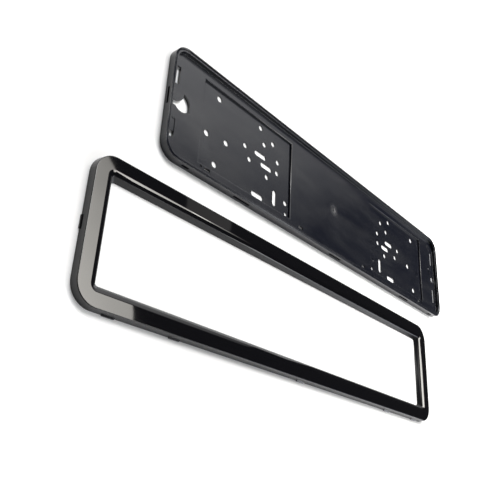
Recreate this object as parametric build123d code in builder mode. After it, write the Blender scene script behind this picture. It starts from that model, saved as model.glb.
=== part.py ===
from build123d import *
import os

# Number plate that the holder takes, and the play left around it in the tray
plate_length = 520.0
plate_width = 110.0
plate_thickness = 1.0
plate_end_gap = 0.5
plate_side_gap = 1.2

# Back plate: the rim, with a lower step along its inside, and the tray floor
rim_width = 4.2
rim_height = 8.7
rim_flare = 0.1
rim_edge_round = 0.4
rim_edge_bevel = 0.3
step_width = 2.2
step_depth = 1.4
tray_corner = 13.4
floor_top = 3.2
floor_thickness = 1.6
floor_bevel = 0.5

# Back plate: the two sunk pads that bear on the car and take the screws, and the floor left around them
pad_length = 137.0
end_strip = 40.0
side_strip = 9.8
pad_thickness = 1.0
pad_wall = 1.0
pad_edge_round = 0.9

# Screw holes and slots of one pad, outward from its middle; the other pad is its mirror image.
# The rows next to a long edge are placed from that edge. Two holes are open on the left pad only:
# on the right pad they are knock-outs, as deep as stated.
knockout_depth = 0.6
large_hole = 6.5
corner_hole_x = 46.0
corner_hole_inset = 8.9
middle_hole = (32.5, -6.5)
outer_hole = (59.5, -9.5)
small_hole = 5.8
small_holes = [(-24.5, 22.5), (-47.5, 12.0), (-47.0, -1.5), (5.0, 6.0), (-2.5, -6.5), (-30.5, -14.0)]
upper_hole_x = -17.5
upper_hole_inset = 6.9
inner_upper_hole_x = -38.5
inner_lower_hole_x = -62.5
inner_hole_inset = 15.9
pin_hole = 4.2
pin_hole_x = -63.5
pin_hole_inset = 3.4
slot_length = 18.0
slot_width = 5.8
slots_along = [(-19.0, 6.5), (-29.0, -3.0)]
lower_slot_x = -17.0
lower_slot_inset = 4.4
cross_slot_x = -44.0
cross_slot_inset = 13.9

# End strips: tie slots with a thin outer edge, and an arched hole with a round finger left standing in it.
# The left strip's lower tie slot is open at its end only, and the right arch is a knock-out with a tie hole.
tie_slot_inset = 5.5
tie_slot_y = 28.6
tie_slot_length = 20.0
tie_slot_width = 4.8
tie_edge_thickness = 0.6
tie_undercut_width = 2.4
tie_opening_length = 7.0
tie_hole_inset = 5.0
tie_hole_y = -3.9
tie_hole_length = 7.4
tie_hole_width = 6.2
strip_rib_width = 1.4
arch_inset = 13.2
arch_low_y = -4.7
arch_width = 20.4
arch_height = 17.6
finger_radius = 9.8
finger_inset = 2.1

# Drain windows along the lower edge, small pin holes beside the outer ones, and the gate mark in the middle
middle_drain_x = 64.0
pad_drain_x = 56.6
drain_gap = 0.4
drain_length = 7.4
drain_width = 3.0
drain_pin_x = 64.6
drain_pin = 2.6
gate_dish_radius = 14.0
gate_dish_depth = 0.8
gate_nub = 2.2

# Front frame: skirt, face and inner lip
skirt_end_gap = 2.0
skirt_side_gap = 0.2
skirt_wall = 1.0
skirt_flare = 0.9
frame_height = 7.2
face_wall = 1.8
outer_edge_round = 0.7
window_edge = 14.0
window_corner = 4.0
crest_land = 0.2
lip_top = 4.4
lip_low = 0.2
lip_foot = 18.8
lip_wall = 2.4

# Snap latches: slots in the back plate's outer wall, and hooks inside the frame's skirt that enter them
latch_x = 161.0
corner_latch_inset = 28.7
latch_slot = 23.0
corner_latch_slot = 8.0
end_latch_slot = 18.0
latch_play_ends = 1.5
latch_play_low = 1.2
latch_play_top = 0.2
latch_play_deep = 0.8
hook_engage = 0.8
hook_low = 0.2
hook_height = 0.9

# Grips on the outside of the skirt's foot, where the frame is pulled off again
grip_x = 168.0
corner_grip_inset = 34.3
grip_length = 11.0
grip_height = 2.6
grip_depth = 0.8

# The frame lies beside the back plate, taken off: its centre from the back plate's centre
frame_shift_x = -57.6
frame_shift_y = -150.6

tray_length = plate_length + 2 * plate_end_gap
tray_width = plate_width + 2 * plate_side_gap
back_length = tray_length + 2 * rim_width
back_width = tray_width + 2 * rim_width
back_corner = tray_corner + rim_width
frame_length = back_length + 2 * (skirt_end_gap + skirt_wall)
frame_width = back_width + 2 * (skirt_side_gap + skirt_wall)
frame_corner = back_corner + skirt_side_gap + skirt_wall
frame_centre = Vector(frame_shift_x, frame_shift_y, 0)
frame_base = Plane(origin=frame_centre)
channel_top = frame_height - face_wall
crest_round = frame_height - lip_top - crest_land
pad_x = tray_length / 2 - end_strip - pad_length / 2
pad_half_width = tray_width / 2 - side_strip
pad_outside_y = pad_half_width + pad_wall
tie_slot_x = tray_length / 2 - tie_slot_inset
tie_hole_x = tray_length / 2 - tie_hole_inset
arch_x = tray_length / 2 - arch_inset
arch_top_y = arch_low_y + arch_height
corner_latch_x = back_length / 2 - corner_latch_inset
corner_grip_x = frame_length / 2 - corner_grip_inset
drain_y = -(pad_outside_y + drain_gap + drain_width / 2)
drain_pin_y = -(pad_outside_y + drain_gap + drain_pin / 2)

# Once clipped on, the frame's lip rests on the plate, and its hooks stand in the latch slots
seat_height = floor_top + plate_thickness - lip_low
latch_slot_low = seat_height + hook_low - latch_play_low
latch_slot_height = hook_height + latch_play_low + latch_play_top
latch_slot_depth = hook_engage + latch_play_deep
UP = Vector(0, 0, 1)


def section_plane(place, inward):
    """Plane that cuts across a side: its x axis points inward and its y axis up."""
    return Plane(origin=place, x_dir=inward, z_dir=inward.cross(UP))


def side_places(centre, half_length, half_width, along, along_corner, length, length_corner, length_end):
    """Points on the four sides, each with the way inward and the length of what sits there."""
    places = []
    for side in (-1, 1):
        long_side = Vector(0, side * half_width, 0)
        short_side = Vector(side * half_length, 0, 0)
        for x in (-along, 0, along):
            places.append((centre + long_side + Vector(x, 0, 0), Vector(0, -side, 0), length))
        for x in (-along_corner, along_corner):
            places.append((centre + long_side + Vector(x, 0, 0), Vector(0, -side, 0), length_corner))
        places.append((centre + short_side, Vector(-side, 0, 0), length_end))
    return places


def mirrored(places):
    """The given places and their mirror images on the other half."""
    return [(side * x, y) for side in (-1, 1) for x, y in places]


def on_pad(side, places):
    """The given places, outward from a pad's middle, on the left pad (side -1) or the right one (side 1)."""
    return [(side * (pad_x + x), y) for x, y in places]


def on_pads(places):
    """The given places, outward from a pad's middle, on both pads."""
    return on_pad(-1, places) + on_pad(1, places)


def near_edge(x, inset, edge):
    """Place on a pad, measured from its upper edge (edge 1) or its lower edge (edge -1)."""
    return (x, edge * (pad_half_width - inset))


def skirt_grow(height):
    """How far the flared skirt stands out past the face's edge at a height above its foot."""
    return skirt_flare * (1 - height / frame_height)


with BuildPart() as back_plate:
    # Rim block, a little wider at its foot
    with BuildSketch(Plane.XY):
        RectangleRounded(back_length + 2 * rim_flare, back_width + 2 * rim_flare, back_corner + rim_flare)
    with BuildSketch(Plane.XY.offset(rim_height)):
        RectangleRounded(back_length, back_width, back_corner)
    loft(ruled=True)

    # Tray above the floor, with a bevelled foot
    with BuildSketch(Plane.XY.offset(floor_top)):
        RectangleRounded(tray_length, tray_width, tray_corner)
    extrude(amount=rim_height - floor_top, mode=Mode.SUBTRACT)
    tray_floor = back_plate.faces().filter_by(Axis.Z).sort_by_distance((0, 0, floor_top))[0]
    chamfer(tray_floor.edges(), length=floor_bevel)

    # Lower step along the inside of the rim
    with BuildSketch(Plane.XY.offset(rim_height - step_depth)):
        RectangleRounded(tray_length + 2 * step_width, tray_width + 2 * step_width, tray_corner + step_width)
    extrude(amount=step_depth, mode=Mode.SUBTRACT)
    rim_top = back_plate.faces().filter_by(Axis.Z).sort_by(Axis.Z)[-1]
    fillet(rim_top.outer_wire().edges(), radius=rim_edge_round)
    rim_top = back_plate.faces().filter_by(Axis.Z).sort_by(Axis.Z)[-1]
    chamfer(rim_top.inner_wires()[0].edges(), length=rim_edge_bevel)
    step_level = rim_height - step_depth
    step_face = back_plate.faces().filter_by(Axis.Z).sort_by_distance((0, tray_width / 2, step_level))[0]
    fillet(step_face.inner_wires()[0].edges(), radius=rim_edge_round)

    # Hollow below the floor, which the pads stand in
    with BuildSketch(Plane.XY):
        RectangleRounded(tray_length, tray_width, tray_corner)
    extrude(amount=floor_top - floor_thickness, mode=Mode.SUBTRACT)

    # Ribs below the floor, along the inner edges of the tie slots and the arched holes
    with BuildSketch(Plane.XY):
        rib_x = tie_slot_x - tie_slot_width / 2
        for x, y in mirrored([(rib_x, tie_slot_y), (rib_x, -tie_slot_y)]):
            with Locations((x, y)):
                Rectangle(
                    strip_rib_width,
                    tie_slot_length,
                    align=(Align.MIN if x < 0 else Align.MAX, Align.CENTER),
                )
        for x, y in mirrored([(arch_x, arch_low_y)]):
            with Locations((x, y)):
                Rectangle(
                    arch_width / 2 + strip_rib_width,
                    arch_height + strip_rib_width,
                    align=(Align.MIN if x < 0 else Align.MAX, Align.MIN),
                )
    extrude(amount=floor_top - floor_thickness)

    # Sunk pads: a block down to the car's side, then the recess above the pad's own floor
    with BuildSketch(Plane.XY):
        with Locations((-pad_x, 0), (pad_x, 0)):
            Rectangle(pad_length + 2 * pad_wall, 2 * pad_outside_y)
    extrude(amount=floor_top)
    with BuildSketch(Plane.XY.offset(pad_thickness)):
        with Locations((-pad_x, 0), (pad_x, 0)):
            Rectangle(pad_length, 2 * pad_half_width)
    extrude(amount=floor_top - pad_thickness, mode=Mode.SUBTRACT)
    tray_floor = back_plate.faces().filter_by(Axis.Z).sort_by_distance((0, 0, floor_top))[0]
    for border in tray_floor.inner_wires():
        fillet(border.edges(), radius=pad_edge_round)

    # Round screw holes, then the right pad's knock-outs
    corner_holes = [near_edge(corner_hole_x, corner_hole_inset, edge) for edge in (-1, 1)]
    upper_holes = [
        near_edge(upper_hole_x, upper_hole_inset, 1),
        near_edge(inner_upper_hole_x, inner_hole_inset, 1),
    ]
    lower_hole = near_edge(inner_lower_hole_x, inner_hole_inset, -1)
    with BuildSketch(Plane.XY):
        with Locations(*on_pads(corner_holes + [middle_hole]), *on_pad(-1, [outer_hole])):
            Circle(large_hole / 2)
        with Locations(*on_pads(small_holes + upper_holes), *on_pad(-1, [lower_hole])):
            Circle(small_hole / 2)
        with Locations(*on_pads([near_edge(pin_hole_x, pin_hole_inset, -1)])):
            Circle(pin_hole / 2)
    extrude(amount=pad_thickness, mode=Mode.SUBTRACT)
    with BuildSketch(Plane.XY.offset(pad_thickness - knockout_depth)):
        with Locations(*on_pad(1, [outer_hole])):
            Circle(large_hole / 2)
        with Locations(*on_pad(1, [lower_hole])):
            Circle(small_hole / 2)
    extrude(amount=knockout_depth, mode=Mode.SUBTRACT)

    # Screw slots
    with BuildSketch(Plane.XY):
        with Locations(*on_pads(slots_along + [near_edge(lower_slot_x, lower_slot_inset, -1)])):
            SlotOverall(slot_length, slot_width)
        with Locations(*on_pads([near_edge(cross_slot_x, cross_slot_inset, -1)])):
            SlotOverall(slot_length, slot_width, rotation=90)
    extrude(amount=pad_thickness, mode=Mode.SUBTRACT)

    # Tie slots and tie hole, cut back below their outer edges
    open_slots = mirrored([(tie_slot_x, tie_slot_y)]) + [(tie_slot_x, -tie_slot_y)]
    with BuildSketch(Plane.XY):
        with Locations(*open_slots):
            Rectangle(tie_slot_width, tie_slot_length)
        with Locations((tie_hole_x, tie_hole_y)):
            Rectangle(tie_hole_width, tie_hole_length)
        with Locations((-tie_slot_x, -tie_slot_y - tie_slot_length / 2)):
            Rectangle(tie_slot_width, tie_opening_length, align=(Align.CENTER, Align.MIN))
    extrude(amount=floor_top, mode=Mode.SUBTRACT)
    with BuildSketch(Plane.XY):
        for x, y in open_slots:
            with Locations((x, y)):
                Rectangle(
                    tie_slot_width / 2 + tie_undercut_width,
                    tie_slot_length,
                    align=(Align.MAX if x < 0 else Align.MIN, Align.CENTER),
                )
        with Locations((tie_hole_x + tie_undercut_width / 4, tie_hole_y)):
            Rectangle(tie_hole_width + tie_undercut_width / 2, tie_hole_length)
    extrude(amount=floor_top - tie_edge_thickness, mode=Mode.SUBTRACT)
    with BuildSketch(Plane.XY.offset(floor_top - knockout_depth)):
        with Locations((-tie_slot_x, -tie_slot_y)):
            Rectangle(tie_slot_width, tie_slot_length)
    extrude(amount=knockout_depth, mode=Mode.SUBTRACT)

    # Arched hole of the left strip, less its finger, and the right strip's knock-out of the same outline
    finger_x = arch_x + arch_width / 2 - finger_inset
    for side, depth in ((-1, floor_top), (1, knockout_depth)):
        with BuildSketch(Plane.XY.offset(floor_top - depth)):
            with Locations((side * arch_x, arch_top_y - arch_width / 2)):
                Circle(arch_width / 2)
            with Locations((side * arch_x, arch_low_y)):
                Rectangle(arch_width, arch_height - arch_width / 2, align=(Align.CENTER, Align.MIN))
            with Locations((side * finger_x, arch_top_y - finger_inset)):
                Circle(finger_radius, mode=Mode.SUBTRACT)
        extrude(amount=depth, mode=Mode.SUBTRACT)

    # Drain windows and pin holes along the lower edge
    with BuildSketch(Plane.XY):
        with Locations(*mirrored([(middle_drain_x, drain_y)]), *on_pads([(pad_drain_x, drain_y)])):
            Rectangle(drain_length, drain_width)
        with Locations(*on_pads([(drain_pin_x, drain_pin_y)])):
            Circle(drain_pin / 2)
    extrude(amount=floor_top, mode=Mode.SUBTRACT)

    # Gate mark: a shallow dish with the broken-off nub in its middle
    with Locations((0, 0, floor_top - gate_dish_depth + gate_dish_radius)):
        Sphere(gate_dish_radius, mode=Mode.SUBTRACT)
    with BuildSketch(Plane.XY.offset(floor_top - floor_thickness)):
        Circle(gate_nub / 2)
    extrude(amount=floor_thickness)

    # Latch slots in the outer walls
    for place, inward, length in side_places(
        Vector(0, 0, 0),
        back_length / 2,
        back_width / 2,
        latch_x,
        corner_latch_x,
        latch_slot,
        corner_latch_slot,
        end_latch_slot,
    ):
        with BuildSketch(section_plane(place, inward)):
            with Locations((latch_slot_depth, latch_slot_low)):
                Rectangle(latch_slot_depth + 2 * rim_flare, latch_slot_height, align=(Align.MAX, Align.MIN))
        extrude(amount=length / 2, both=True, mode=Mode.SUBTRACT)

with BuildPart() as front_frame:
    # Outer block, flared towards the skirt's foot
    with BuildSketch(frame_base):
        grow = skirt_grow(0)
        RectangleRounded(frame_length + 2 * grow, frame_width + 2 * grow, frame_corner + grow)
    with BuildSketch(frame_base.offset(frame_height)):
        RectangleRounded(frame_length, frame_width, frame_corner)
    loft(ruled=True)
    fillet(front_frame.edges().group_by(Axis.Z)[-1], radius=outer_edge_round)

    # Hollow inside the skirt, up to the underside of the face
    for height in (0, channel_top):
        grow = skirt_grow(height) - skirt_wall
        with BuildSketch(frame_base.offset(height)):
            RectangleRounded(frame_length + 2 * grow, frame_width + 2 * grow, frame_corner + grow)
    loft(ruled=True, mode=Mode.SUBTRACT)

    # Back of the sloping lip, as a block that the window is then cut out of
    lip_slope = (lip_foot - window_edge) / (lip_top - lip_low)
    back_foot = lip_foot - lip_wall
    back_top = back_foot - lip_slope * (channel_top - lip_low)
    with BuildSketch(frame_base.offset(lip_low)):
        RectangleRounded(frame_length - 2 * back_foot, frame_width - 2 * back_foot, window_corner)
    with BuildSketch(frame_base.offset(channel_top)):
        RectangleRounded(frame_length - 2 * back_top, frame_width - 2 * back_top, window_corner)
    loft(ruled=True)

    # Window: the slope of the lip, then an upright edge that is rounded over into the face
    with BuildSketch(frame_base.offset(lip_low)):
        RectangleRounded(frame_length - 2 * lip_foot, frame_width - 2 * lip_foot, window_corner)
    with BuildSketch(frame_base.offset(lip_top)):
        RectangleRounded(frame_length - 2 * window_edge, frame_width - 2 * window_edge, window_corner)
    loft(ruled=True, mode=Mode.SUBTRACT)
    with BuildSketch(frame_base.offset(lip_top)):
        RectangleRounded(frame_length - 2 * window_edge, frame_width - 2 * window_edge, window_corner)
    extrude(amount=frame_height - lip_top, mode=Mode.SUBTRACT)
    face = front_frame.faces().filter_by(Axis.Z).sort_by(Axis.Z)[-1]
    fillet(face.inner_wires()[0].edges(), radius=crest_round)

    # Hooks inside the skirt's foot, with a slope that leads them over the rim
    half_length = frame_length / 2 + skirt_flare
    half_width = frame_width / 2 + skirt_flare
    for place, inward, length in side_places(
        frame_centre,
        half_length,
        half_width,
        latch_x,
        corner_latch_x,
        latch_slot,
        corner_latch_slot,
        end_latch_slot,
    ):
        skirt_gap = skirt_side_gap if inward.X == 0 else skirt_end_gap
        hook_tip = skirt_flare + skirt_wall + skirt_gap + hook_engage
        with BuildSketch(section_plane(place, inward)):
            with BuildLine():
                Polyline(
                    (skirt_wall / 2, hook_low),
                    (skirt_wall, hook_low),
                    (hook_tip, hook_low + hook_height / 2),
                    (hook_tip, hook_low + hook_height),
                    (skirt_wall / 2, hook_low + hook_height),
                    close=True,
                )
            make_face()
        extrude(amount=length / 2 - latch_play_ends, both=True)

    # Grips on the outside of the skirt's foot
    for place, inward, length in side_places(
        frame_centre, half_length, half_width, grip_x, corner_grip_x, grip_length, grip_length, grip_length
    ):
        with BuildSketch(section_plane(place, inward)):
            with BuildLine():
                Polyline(
                    (skirt_wall / 2, 0),
                    (-grip_depth, 0),
                    (-grip_depth, grip_height / 2),
                    (skirt_wall / 2, grip_height),
                    close=True,
                )
            make_face()
        extrude(amount=length / 2, both=True)

back_plate.part.label = "back_plate"
front_frame.part.label = "front_frame"

os.makedirs("parts", exist_ok=True)
export_step(back_plate.part, "parts/back_plate.step")
export_step(front_frame.part, "parts/front_frame.step")
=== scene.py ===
import math

import bmesh
import bpy
from mathutils import Matrix, Quaternion, Vector


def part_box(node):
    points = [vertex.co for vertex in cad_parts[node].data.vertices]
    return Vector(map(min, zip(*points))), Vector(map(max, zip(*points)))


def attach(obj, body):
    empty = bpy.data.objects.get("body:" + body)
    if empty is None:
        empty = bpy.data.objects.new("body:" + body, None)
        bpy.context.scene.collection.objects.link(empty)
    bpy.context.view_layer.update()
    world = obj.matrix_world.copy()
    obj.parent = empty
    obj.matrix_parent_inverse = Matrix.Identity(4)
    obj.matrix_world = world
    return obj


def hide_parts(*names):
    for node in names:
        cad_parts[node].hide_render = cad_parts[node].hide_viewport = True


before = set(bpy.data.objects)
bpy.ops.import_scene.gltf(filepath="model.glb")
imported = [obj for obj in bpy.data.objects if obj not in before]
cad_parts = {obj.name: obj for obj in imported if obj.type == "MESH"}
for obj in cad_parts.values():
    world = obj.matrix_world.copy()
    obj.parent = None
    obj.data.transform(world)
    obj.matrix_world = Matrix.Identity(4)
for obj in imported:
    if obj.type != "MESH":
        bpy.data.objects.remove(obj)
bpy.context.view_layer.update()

scene = bpy.context.scene
scene.view_settings.view_transform = "Standard"

# Back plate: the shallow tray that is screwed to the car and takes the number plate.
# It is one moulding in black plastic with a satin, finely spark-eroded surface.
# Its rim slopes outwards on top, and the frame's hooks snap into the deep slots in its outer walls.
join_distance = 1e-6
smooth_angle = 30
level_match = 0.9999
flat_width = 0.0008


def pick(piece):
    """Makes a piece the only one that operators act on."""
    bpy.ops.object.select_all(action="DESELECT")
    piece.select_set(True)
    bpy.context.view_layer.objects.active = piece


def moulding_copy(node, name):
    """A copy of a solid with its corners joined."""
    piece = node.copy()
    piece.data = node.data.copy()
    piece.name = name
    piece.data.name = name
    piece.parent = None
    scene.collection.objects.link(piece)
    pick(piece)
    bpy.ops.object.mode_set(mode="EDIT")
    bpy.ops.mesh.select_all(action="SELECT")
    bpy.ops.mesh.remove_doubles(threshold=join_distance)
    bpy.ops.object.mode_set(mode="OBJECT")
    piece.data.materials.clear()
    return piece


def reach_past_corners(place, half, corner):
    """How far a place lies, along X and along Y, past the centres of a rounded rectangle's corners."""
    return [max(abs(place[axis]) - half[axis] + corner, 0) for axis in (0, 1)]


def move_inwards(point, place, reach, distance):
    """Moves a point of a mesh towards the middle, square to the side or corner that it lies on."""
    for axis in (0, 1):
        point.co[axis] -= math.copysign(distance * reach[axis] / math.hypot(*reach), place[axis])


def shared_normal(faces):
    """The normal of some faces together, each counted by its area."""
    return sum((face.normal * face.calc_area() for face in faces), Vector()).normalized()


def flat_normals(mould):
    """The normal of each flat that is wide enough to look flat, under the index of each of its faces."""
    normals = {}
    seen = set()
    for first in mould.faces:
        if first.index in seen:
            continue
        patch, waiting, outline = [], [first], 0.0
        seen.add(first.index)
        while waiting:
            face = waiting.pop()
            patch.append(face)
            for edge in face.edges:
                level = [other for other in edge.link_faces
                         if other is not face and other.normal.dot(first.normal) > level_match]
                if not level:
                    outline += edge.calc_length()
                for other in level:
                    if other.index not in seen:
                        seen.add(other.index)
                        waiting.append(other)
        if 2 * sum(face.calc_area() for face in patch) > flat_width * outline:
            across = shared_normal(patch)
            normals.update((face.index, across) for face in patch)
    return normals


def shade_moulding(piece):
    """Shades a piece flat on its flats and smooth over its rounds."""
    pick(piece)
    bpy.ops.object.shade_smooth_by_angle(angle=math.radians(smooth_angle))
    mould = bmesh.new()
    mould.from_mesh(piece.data)
    flats = flat_normals(mould)
    corner_normals = [None] * len(piece.data.loops)
    for point in mould.verts:
        corners = set(point.link_loops)
        while corners:
            fan = [corners.pop()]
            for corner in fan:
                for edge in (corner.edge, corner.link_loop_prev.edge):
                    if edge.smooth:
                        joined = [other for other in corners if other.face in edge.link_faces]
                        corners.difference_update(joined)
                        fan.extend(joined)
            flat = [corner.face for corner in fan if corner.face.index in flats]
            rounded = shared_normal(flat or [corner.face for corner in fan])
            for corner in fan:
                corner_normals[corner.index] = flats.get(corner.face.index, rounded)
    mould.free()
    piece.data.normals_split_custom_set(corner_normals)


def feed(owner, socket, value):
    """Links a socket from another node's output, or sets its value."""
    if isinstance(value, bpy.types.NodeSocket):
        owner.node_tree.links.new(value, socket)
    else:
        socket.default_value = value


def node_of(owner, kind, **sockets):
    """Adds a shader node to a material or world, and feeds its sockets by name."""
    made = owner.node_tree.nodes.new("ShaderNode" + kind)
    for name, value in sockets.items():
        feed(owner, made.inputs[name.replace("_", " ")], value)
    return made


def math_of(owner, kind, operation, *terms):
    """Adds a math node to a material or world, which works out an operation on its terms."""
    made = owner.node_tree.nodes.new("ShaderNode" + kind)
    made.operation = operation
    for socket, term in zip(made.inputs, terms):
        feed(owner, socket, term)
    return made


tray = moulding_copy(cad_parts["back_plate"], "tray")
round_off = 1e-5
rim_half = (0.2647, 0.0604)
rim_corner = 0.0176
rim_top_start = 0.0082
rim_edge = 0.0005
rim_fall = 0.0007
latch_depth = 0.0016
latch_foot = 0.0030
latch_head = 0.0053
latch_deeper = 0.0015
for point in tray.data.vertices:
    reach = reach_past_corners(point.co, rim_half, rim_corner)
    inset = rim_corner - math.hypot(*reach)
    at_latch_level = latch_foot - round_off < point.co.z < latch_head + round_off
    if point.co.z > rim_top_start and inset < rim_edge:
        point.co.z -= rim_fall
    elif at_latch_level and abs(inset - latch_depth) < 2 * round_off:
        move_inwards(point, point.co.copy(), reach, latch_deeper)
shade_moulding(tray)

satin_black = bpy.data.materials.new("satin_black_plastic")
satin_black.use_nodes = True
satin_shader = satin_black.node_tree.nodes["Principled BSDF"]
satin_shader.inputs["IOR"].default_value = 1.5
satin_place = node_of(satin_black, "TexCoord").outputs["Object"]

# Clouds in the satin, drawn out along the plate as the plastic flowed
satin_flow = node_of(satin_black, "Mapping", Vector=satin_place, Scale=(0.6, 1.6, 1.0)).outputs["Vector"]
satin_cloud = node_of(satin_black, "TexNoise", Vector=satin_flow, Scale=18.0, Detail=4.0, Roughness=0.62)
satin_spread = node_of(
    satin_black, "MapRange", Value=satin_cloud.outputs["Fac"],
    From_Min=0.3, From_Max=0.7, To_Min=0.13, To_Max=0.24,
)

# Thin dust, wiped aslant
wipe_turn = (0, 0, math.radians(-20))
clean_black = (0.006, 0.007, 0.012, 1)
dusty_black = (0.015, 0.016, 0.020, 1)
satin_wipe = node_of(satin_black, "Mapping", Vector=satin_place, Scale=(4.0, 42.0, 1.0), Rotation=wipe_turn)
satin_scuff = node_of(
    satin_black, "TexNoise", Vector=satin_wipe.outputs["Vector"], Scale=2.2, Detail=4.0, Roughness=0.6
)
satin_dust = math_of(satin_black, "Math", "MULTIPLY", satin_cloud.outputs["Fac"], satin_scuff.outputs["Fac"])
satin_tone = node_of(satin_black, "ValToRGB", Fac=satin_dust.outputs["Value"])
for stop, position, colour in zip(satin_tone.color_ramp.elements, (0.16, 0.42), (clean_black, dusty_black)):
    stop.position = position
    stop.color = colour
feed(satin_black, satin_shader.inputs["Base Color"], satin_tone.outputs["Color"])

# The matt blush round the gate mark in the middle, where the plastic was injected
satin_from_gate = math_of(satin_black, "VectorMath", "LENGTH", satin_place).outputs["Value"]
satin_blush = node_of(
    satin_black, "MapRange", Value=satin_from_gate, From_Min=0.003, From_Max=0.010, To_Min=0.26, To_Max=0.0
)
satin_rough = math_of(
    satin_black, "Math", "ADD", satin_spread.outputs["Result"], satin_blush.outputs["Result"]
)
feed(satin_black, satin_shader.inputs["Roughness"], satin_rough.outputs["Value"])

# The fine grain of the spark-eroded mould
satin_grain = node_of(satin_black, "TexNoise", Vector=satin_place, Scale=2200.0, Detail=2.0, Roughness=0.5)
satin_bump = node_of(satin_black, "Bump", Height=satin_grain.outputs["Fac"], Strength=0.06, Distance=0.0001)
feed(satin_black, satin_shader.inputs["Normal"], satin_bump.outputs["Normal"])
tray.data.materials.append(satin_black)
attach(tray, "root")
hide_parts("back_plate")

# Front frame: the trim that clips over the tray's rim and holds the plate's edge down.
# It is moulded in black plastic, polished on its face and crest, and left satin on skirt and lip.
# Its crest is a gently curved bevel round the window, which turns over a small nose into a steep lip.
trim = moulding_copy(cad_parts["front_frame"], "trim")
frame_low, frame_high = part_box("front_frame")
frame_middle = [(low + high) / 2 for low, high in zip(frame_low, frame_high)]
window_half = (0.2537, 0.0476)
window_corner = 0.004
crest_radius = 0.0026
crest_play = 3e-5
lip_drop = 0.0028
lip_turn = 98.2
bevel_end = 73.6
crest_end = 90
bevel_width = 0.0046
bevel_slope = 0.16
nose_run = 0.00044
nose_tuck = 0.00011
nose_fall = 0.00026
nose_steepening = 0.00006
for point in trim.data.vertices:
    place = [point.co[axis] - frame_middle[axis] for axis in (0, 1)]
    reach = reach_past_corners(place, window_half, window_corner)
    inward = crest_radius + window_corner - math.hypot(*reach)
    drop = frame_high[2] - point.co.z
    off_round = abs(math.hypot(inward, crest_radius - drop) - crest_radius)
    on_round = off_round < crest_play and drop < crest_radius + round_off
    on_lip = abs(inward - crest_radius) < crest_play and abs(drop - lip_drop) < crest_play
    if inward > -round_off and (on_round or on_lip):
        turned = lip_turn if on_lip else math.degrees(math.atan2(inward, crest_radius - drop))
        share = min(turned / bevel_end, 1)
        nose = max(turned - bevel_end, 0) / (crest_end - bevel_end)
        run = bevel_width * share + nose_run * nose - nose_tuck * nose ** 2
        bevel_fall = bevel_width * bevel_slope * (share + share ** 2)
        move_inwards(point, place, reach, run - inward)
        point.co.z = frame_high[2] - (bevel_fall + nose_fall * nose + nose_steepening * nose ** 2)
shade_moulding(trim)

gloss_black = bpy.data.materials.new("polished_black_plastic")
gloss_black.use_nodes = True
gloss_shader = gloss_black.node_tree.nodes["Principled BSDF"]
gloss_shader.inputs["Base Color"].default_value = (0.004, 0.004, 0.005, 1)
gloss_shader.inputs["IOR"].default_value = 1.5
gloss_place = node_of(gloss_black, "TexCoord").outputs

# Satin on the outer wall, which is the part that faces away from the frame's middle
level_only = (1, 1, 0)
frame_foot = (frame_middle[0], frame_middle[1], 0)
gloss_from_middle = math_of(gloss_black, "VectorMath", "SUBTRACT", gloss_place["Object"], frame_foot)
gloss_facing = math_of(gloss_black, "VectorMath", "MULTIPLY", gloss_place["Normal"], level_only)
gloss_outward = math_of(
    gloss_black, "VectorMath", "DOT_PRODUCT",
    gloss_facing.outputs["Vector"], gloss_from_middle.outputs["Vector"],
)
gloss_outer_wall = node_of(
    gloss_black, "MapRange", Value=gloss_outward.outputs["Value"], From_Min=0.025, From_Max=0.045
)

# Satin on the lip, which is all that lies below the crest
gloss_height = node_of(gloss_black, "SeparateXYZ", Vector=gloss_place["Object"]).outputs["Z"]
gloss_lip = node_of(
    gloss_black, "MapRange", Value=gloss_height, From_Min=0.0052, From_Max=0.0055, To_Min=0.36, To_Max=0.03
)
gloss_spread = node_of(
    gloss_black, "Mix", Factor=gloss_outer_wall.outputs["Result"], A=gloss_lip.outputs["Result"], B=0.26
)
feed(gloss_black, gloss_shader.inputs["Roughness"], gloss_spread.outputs["Result"])

# The slight waves that polished plastic shows in its reflections
gloss_wave = node_of(
    gloss_black, "TexNoise", Vector=gloss_place["Object"], Scale=22.0, Detail=1.0, Roughness=0.4
)
gloss_bump = node_of(gloss_black, "Bump", Height=gloss_wave.outputs["Fac"], Strength=1.0, Distance=0.00025)
feed(gloss_black, gloss_shader.inputs["Normal"], gloss_bump.outputs["Normal"])
trim.data.materials.append(gloss_black)
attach(trim, "root")
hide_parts("front_frame")

# Floor: the plain white table that both pieces lie on, larger than the picture and just below them.
# Seen by the camera or in a gloss it is lifted to white.
# The lift is least around the pieces, where the table keeps their shadows, but it grows towards the right as
# painted light that thins them.
floor_size = 40.0
floor_gap = 0.0001
bpy.ops.object.select_all(action="DESELECT")
bpy.ops.mesh.primitive_plane_add(size=floor_size, location=(0, 0, -floor_gap))
floor = bpy.context.active_object
floor.name = "floor"
white_floor = bpy.data.materials.new("white_floor")
white_floor.use_nodes = True
floor_shader = white_floor.node_tree.nodes["Principled BSDF"]
floor_shader.inputs["Base Color"].default_value = (0.8, 0.8, 0.8, 1)
floor_shader.inputs["Roughness"].default_value = 0.9
floor_shader.inputs["Specular IOR Level"].default_value = 0.0
floor_shader.inputs["Emission Color"].default_value = (1, 1, 1, 1)


def seen_or_mirrored(owner):
    """Gives 1 to the rays of the camera, of gloss and of glass, and 0 to the rays that carry light."""
    rays = node_of(owner, "LightPath").outputs
    either = rays["Is Camera Ray"]
    for kind in ("Is Glossy Ray", "Is Transmission Ray"):
        either = math_of(owner, "Math", "MAXIMUM", either, rays[kind]).outputs["Value"]
    return either


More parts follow.
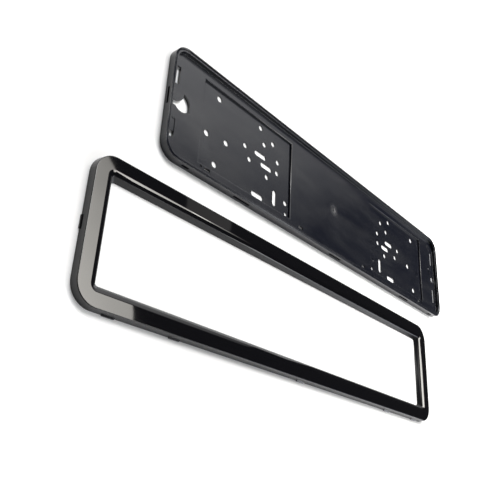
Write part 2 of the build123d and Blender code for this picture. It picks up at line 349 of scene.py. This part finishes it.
floor_middle = (-0.03, -0.075, 0)
oval_squeeze = (0.62, 1, 0)
oval_lift = {"From_Min": 0.18, "From_Max": 0.45, "To_Min": 0.10, "To_Max": 1.0}
# Painted light: the floor glows more towards the right, and fully past the tray's right end, which thins the
# shadows there.
rightward_painted_light = {"From_Min": -0.25, "From_Max": 0.25, "To_Min": 0.06, "To_Max": 0.20}
right_end_painted_light = {"From_Min": 0.240, "From_Max": 0.248, "To_Min": 0.0, "To_Max": 1.0}
floor_place = node_of(white_floor, "TexCoord").outputs["Object"]
floor_apart = math_of(white_floor, "VectorMath", "SUBTRACT", floor_place, floor_middle)
floor_oval = math_of(white_floor, "VectorMath", "MULTIPLY", floor_apart.outputs["Vector"], oval_squeeze)
floor_reach = math_of(white_floor, "VectorMath", "LENGTH", floor_oval.outputs["Vector"])
floor_round = node_of(white_floor, "MapRange", Value=floor_reach.outputs["Value"], **oval_lift)
floor_lift = floor_round.outputs["Result"]
floor_across = node_of(white_floor, "SeparateXYZ", Vector=floor_place).outputs["X"]
for side_lift in (rightward_painted_light, right_end_painted_light):
    floor_side = node_of(white_floor, "MapRange", Value=floor_across, **side_lift)
    floor_most = math_of(white_floor, "Math", "MAXIMUM", floor_lift, floor_side.outputs["Result"])
    floor_lift = floor_most.outputs["Value"]
floor_white = math_of(white_floor, "Math", "MULTIPLY", floor_lift, seen_or_mirrored(white_floor))
feed(white_floor, floor_shader.inputs["Emission Strength"], floor_white.outputs["Value"])
floor.data.materials.append(white_floor)

# Light: soft lamps round and over the table in a dark room, placed where the black plastic mirrors them.
# The main panel hangs high behind the pieces and gives most of the light. The others show as reflections.
# Along the horizon the room is seen and mirrored as white.
world = bpy.data.worlds.new("dark_room")
scene.world = world
world.use_nodes = True
room_light = world.node_tree.nodes["Background"]
room_light.inputs["Color"].default_value = (1, 1, 1, 1)
room_direction = node_of(world, "TexCoord").outputs["Generated"]
room_rise = node_of(world, "SeparateXYZ", Vector=room_direction).outputs["Z"]
room_horizon = node_of(
    world, "MapRange", Value=room_rise, From_Min=0.12, From_Max=0.2, To_Min=1.0, To_Max=0.02
)
room_seen = math_of(world, "Math", "MULTIPLY", room_horizon.outputs["Result"], seen_or_mirrored(world))
feed(world, room_light.inputs["Strength"], room_seen.outputs["Value"])


def pointed(place, aim, roll):
    """The turn of a lamp or camera that points from a place at an aim and is rolled by some degrees."""
    straight = (Vector(aim) - Vector(place)).to_track_quat("-Z", "Y")
    return straight @ Quaternion((0, 0, 1), math.radians(roll))


def hung_lamp(name, place, width, height, power, aim=None, roll=0, spread=180, tint=(1, 1, 1)):
    """Adds an area lamp, which points straight down unless it has an aim, with angles in degrees."""
    lamp = bpy.data.lights.new(name, "AREA")
    lamp.shape = "RECTANGLE"
    lamp.size = width
    lamp.size_y = height
    lamp.energy = power
    lamp.color = tint
    lamp.spread = math.radians(spread)
    holder = bpy.data.objects.new(name, lamp)
    scene.collection.objects.link(holder)
    holder.location = place
    holder.rotation_euler = pointed(place, aim or (place[0], place[1], 0), roll).to_euler()


warm_white = (1, 0.97, 0.91)
hung_lamp("soft_box", (0.905, 0.759, 2.0), 0.55, 1.48, power=17.5, roll=19.29, spread=98, tint=warm_white)
hung_lamp("soft_toe", (1.70, 0.34, 2.01), 0.80, 0.38, power=8.0, spread=87, tint=warm_white)
hung_lamp("main_panel", (0.10, 2.40, 3.50), 2.0, 2.3, power=212.0)
hung_lamp(
    "far_window", (1.169, 1.826, 1.288), 1.9, 1.25, power=1.6, aim=(0.297, -0.132, 0), roll=12, spread=60
)
hung_lamp("low_window", (1.639, 1.757, 0.64), 1.15, 0.53, power=3.1, aim=(0, 0, 0))
hung_lamp("dim_card", (1.72, 1.33, 2.0), 0.36, 0.4, power=0.2, tint=(1, 0.97, 0.93))
hung_lamp(
    "front_card", (1.60, -1.05, 0.45), 1.1, 0.9, power=9.9, aim=(0.1, -0.09, 0), tint=(0.90, 0.93, 1)
)
hung_lamp(
    "front_window", (1.12, -1.07, 1.34), 1.3, 0.6, power=11.0, aim=(-0.05, -0.15, 0), tint=(0.95, 0.97, 1)
)

# Camera: looks down on both pieces from the left and in front, and is rolled far over to its side.
# Its place, aim, roll and lens were solved from the edges and holes of both pieces in the picture.
lens_pixels = 629.6
image_pixels = 500
camera_place = (-0.55022, -0.34981, 0.36557)
camera_aim = (-0.13994, -0.10319, 0)
camera_roll = 73.136
camera_data = bpy.data.cameras.new("camera")
camera_data.sensor_width = 36.0
camera_data.lens = lens_pixels / image_pixels * camera_data.sensor_width
camera_data.clip_end = 50.0
camera = bpy.data.objects.new("camera", camera_data)
scene.collection.objects.link(camera)
camera_turn = pointed(camera_place, camera_aim, camera_roll).to_matrix().to_4x4()
camera.matrix_world = Matrix.Translation(camera_place) @ camera_turn
scene.camera = camera
